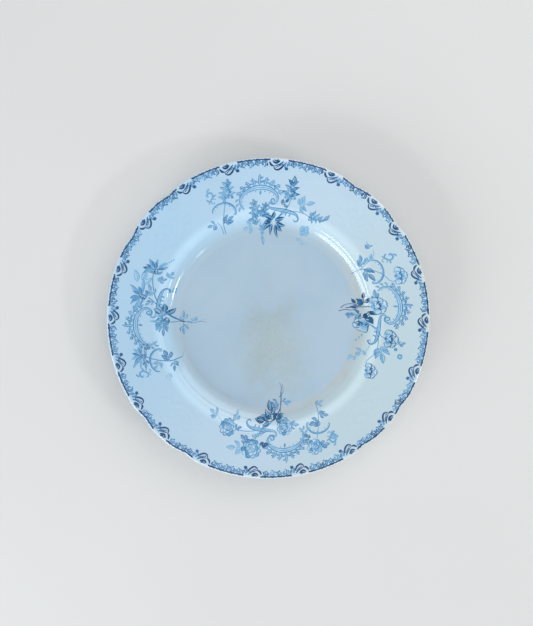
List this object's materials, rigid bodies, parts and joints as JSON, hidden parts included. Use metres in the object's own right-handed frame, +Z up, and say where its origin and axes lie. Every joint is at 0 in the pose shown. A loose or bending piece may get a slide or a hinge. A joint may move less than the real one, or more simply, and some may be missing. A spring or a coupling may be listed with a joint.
{
  "type": "dinner plate",
  "caption": "Round china dinner plate with a notched edge, a wide hollow rim, a deep well, a foot ring, and blue floral scroll prints under the glaze.",
  "frame": {"origin": "centre of the circle that the foot ring stands on, on the table's surface", "axes": "+Z up out of the well; the four sprays lie close to +X, +Y, -X and -Y, and the edge's notches stand in pairs about the four diagonals"},
  "size_m": [0.254, 0.254, 0.0238],
  "materials": {
    "fired_clay": "matt",
    "glaze": "glossy, faintly crazed",
    "blue_print": "glossy"
  },
  "bodies": {
    "root": {"clay_body": "fired_clay", "glaze_coat": "glaze", "base_glaze": "glaze", "border_print": "blue_print", "poppy_spray": "blue_print", "fern_spray": "blue_print", "cornflower_spray": "blue_print", "rose_spray": "blue_print"}
  },
  "joints": []
}
